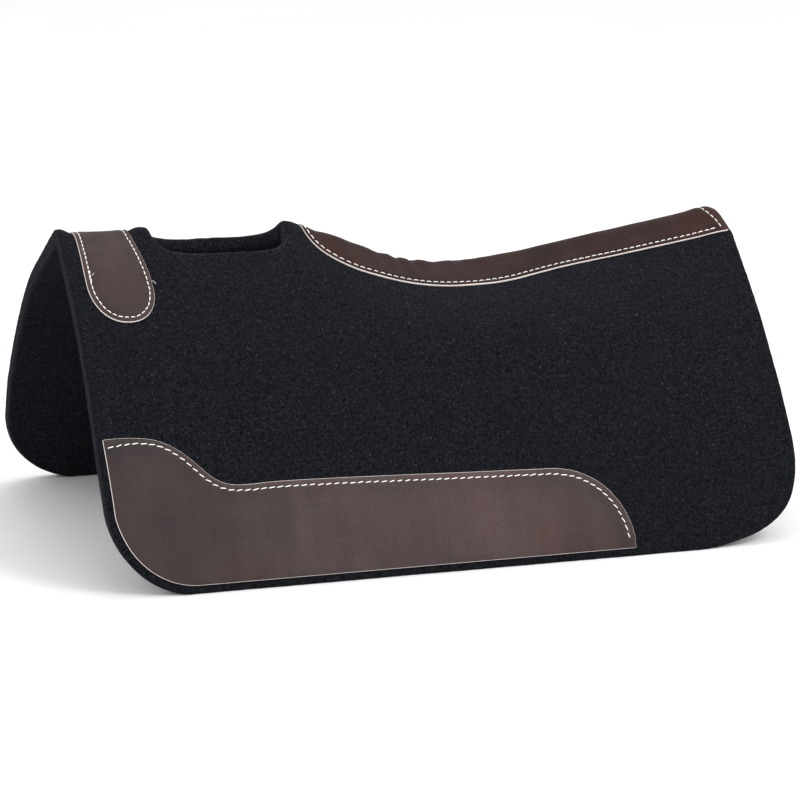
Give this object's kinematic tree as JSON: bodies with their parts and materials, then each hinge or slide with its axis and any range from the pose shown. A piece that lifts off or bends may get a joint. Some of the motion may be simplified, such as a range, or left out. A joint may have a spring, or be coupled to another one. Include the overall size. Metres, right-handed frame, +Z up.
{
  "type": "saddle pad",
  "caption": "Contoured thick felt saddle pad for a western saddle, with a wither relief hole, a leather strap over the withers, a leather strip along the spine and a wear leather on each side.",
  "frame": {"origin": "on the surface the pad stands on, below the middle of its overall box", "axes": "+X along the horse towards the tail, +Y to the horse's right, +Z up"},
  "size_m": [0.7781, 0.4768, 0.3443],
  "materials": {
    "felt": "thick pressed wool felt, near-black charcoal with blue and purple fibres",
    "strap_leather": "matt dark brown leather with a fine grain",
    "spine_leather": "matt dark brown leather, redder and darker",
    "wear_leather": "matt brown leather with a fine grain",
    "thread": "off-white bonded thread",
    "bobbin_thread": "black bonded thread"
  },
  "bodies": {
    "spine": {"left_felt_crown": "felt", "right_felt_crown": "felt", "wither_strap": "strap_leather", "spine_leather": "spine_leather", "wither_strap_thread": "thread", "wither_strap_bobbin_thread": "bobbin_thread", "spine_leather_thread": "thread", "spine_leather_bobbin_thread": "bobbin_thread", "bridge_seam_thread": "bobbin_thread", "spine_seam_thread": "bobbin_thread"},
    "left_flap": {"left_felt_flap": "felt", "left_wear_leather": "wear_leather", "left_wear_thread": "thread", "left_wear_bobbin_thread": "bobbin_thread"},
    "right_flap": {"right_felt_flap": "felt", "right_wear_leather": "wear_leather", "right_wear_thread": "thread", "right_wear_bobbin_thread": "bobbin_thread"}
  },
  "joints": [
    {"name": "left_flap_bend", "type": "hinge", "parent": "spine", "child": "left_flap", "pos_m": [0, -0.13314, 0.19954], "axis": [1, 0, 0], "range_deg": [-45, 40], "stiffness_Nm_per_rad": 30},
    {"name": "right_flap_bend", "type": "hinge", "parent": "spine", "child": "right_flap", "pos_m": [0, 0.13314, 0.19954], "axis": [-1, 0, 0], "range_deg": [-45, 40], "stiffness_Nm_per_rad": 30}
  ]
}
